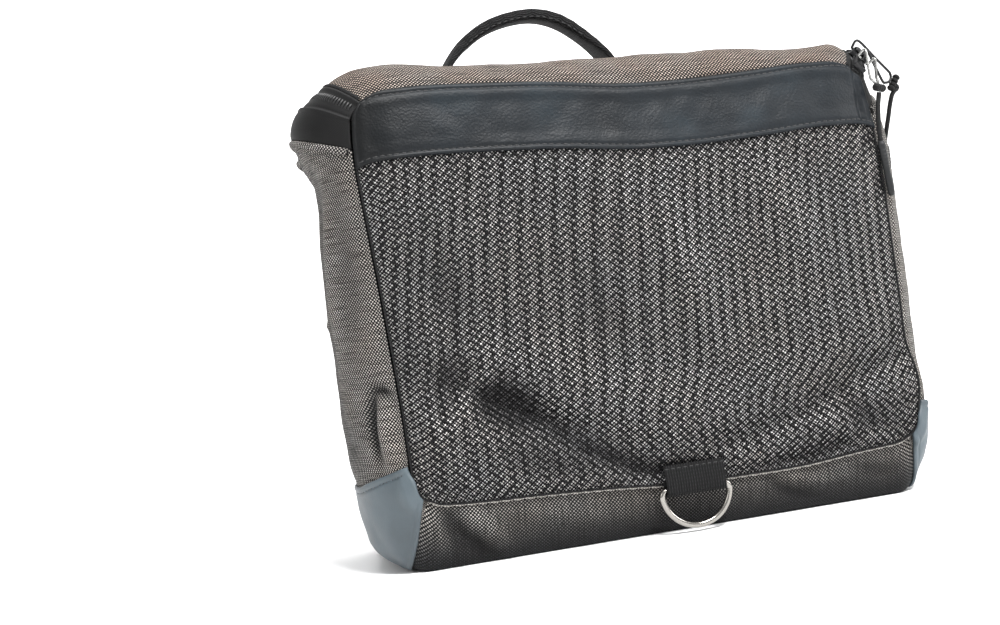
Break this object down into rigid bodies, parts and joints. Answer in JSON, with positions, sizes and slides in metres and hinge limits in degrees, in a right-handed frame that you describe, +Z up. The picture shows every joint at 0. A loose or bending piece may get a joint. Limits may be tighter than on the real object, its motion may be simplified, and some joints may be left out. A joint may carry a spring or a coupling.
{
  "type": "handlebar bag",
  "caption": "Soft bicycle handlebar bag of grey melange cloth with a black net front, a leather band, a zipped lid, a carry handle, corner patches, a metal ring and two loops for the bar",
  "frame": {"origin": "on the floor, in the flat underside of the bag, under the middle of its body", "axes": "+Z up, +X to the right of someone looking at the front, the front faces -Y and the bar loops are on the +Y side"},
  "size_m": [0.3095, 0.164, 0.2706],
  "materials": {
    "melange_cloth": "matte melange weave",
    "black_net": "matte knitted net",
    "black_leather": "fine grain, low sheen",
    "zip_tape": "smooth woven tape",
    "coated_cloth": "smooth coated",
    "black_webbing": "ribbed webbing",
    "nickel": "polished",
    "black_metal": "black lacquer",
    "black_cord": "braided",
    "grip_rubber": "satin"
  },
  "bodies": {
    "bag": {"front_panel": "melange_cloth", "net_panel": "black_net", "leather_band": "black_leather", "gusset": "melange_cloth", "lid": "melange_cloth", "zip_tape": "zip_tape", "back_panel": "melange_cloth", "corner_patch_left": "coated_cloth", "corner_patch_right": "coated_cloth", "handle": "black_webbing", "ring_loop": "black_webbing", "bar_strap_left": "black_webbing", "bar_strap_right": "black_webbing", "slider_front": "black_metal", "slider_bridge_front": "black_metal", "slider_rear": "black_metal", "slider_bridge_rear": "black_metal", "pull_loop_front": "black_metal", "pull_knot_front": "black_cord", "pull_cord_front": "black_cord", "pull_grip_front": "grip_rubber", "pull_loop_rear": "black_metal", "pull_knot_rear": "black_cord", "pull_cord_rear": "black_cord", "pull_grip_rear": "grip_rubber"},
    "ring": {"d_ring": "nickel"}
  },
  "joints": [
    {"name": "ring_swing", "type": "hinge", "parent": "bag", "child": "ring", "pos_m": [0.0075, -0.0619, 0.0212], "axis": [-1, 0, 0], "range_deg": [0, 110]}
  ]
}
